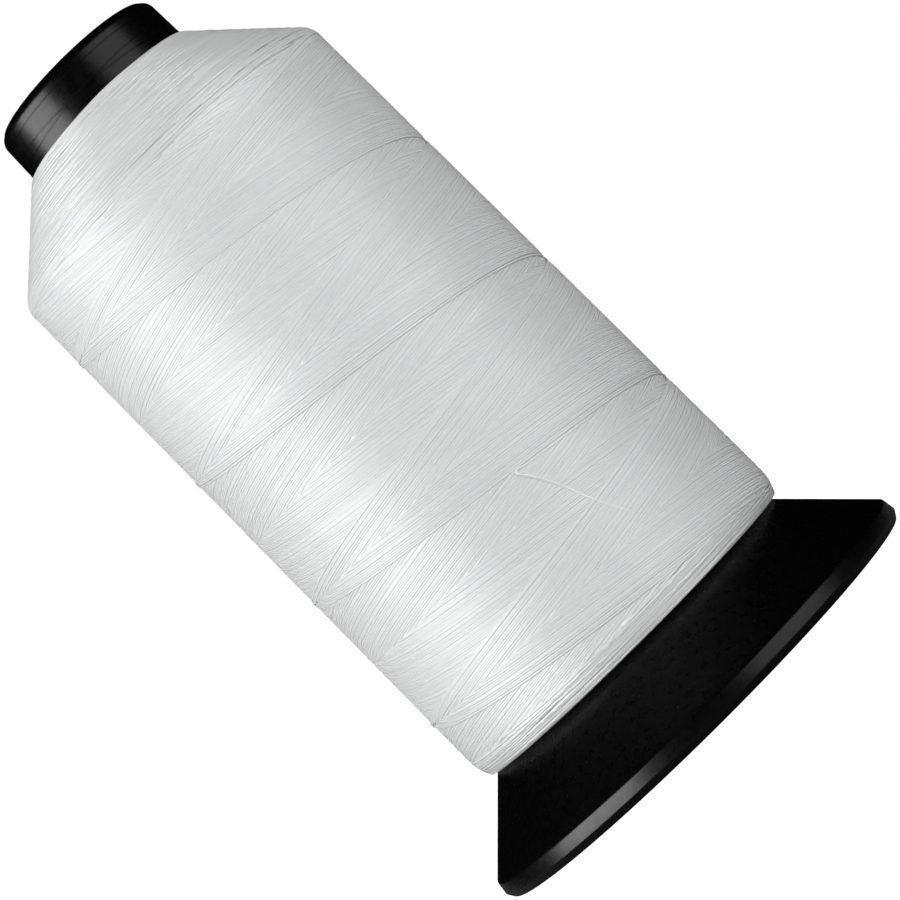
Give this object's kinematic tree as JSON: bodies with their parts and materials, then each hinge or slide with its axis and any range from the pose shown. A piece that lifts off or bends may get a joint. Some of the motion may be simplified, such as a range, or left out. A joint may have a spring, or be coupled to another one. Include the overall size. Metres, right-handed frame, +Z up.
{
  "type": "cone of thread",
  "caption": "Large upright cone of cross-wound white thread on a black plastic spool with a flared base, a top collar and a bore right through.",
  "frame": {"origin": "middle of the flat ring under the base, on the surface it stands on", "axes": "+Z up along the spool's bore; -Y is the front, where the loose end lies"},
  "size_m": [0.1088, 0.1088, 0.178],
  "materials": {
    "spool_plastic": "satin black moulded plastic",
    "thread_white": "smooth bonded thread with a soft sheen"
  },
  "bodies": {
    "root": {"spool": "spool_plastic", "thread": "thread_white", "thread_end": "thread_white"}
  },
  "joints": []
}
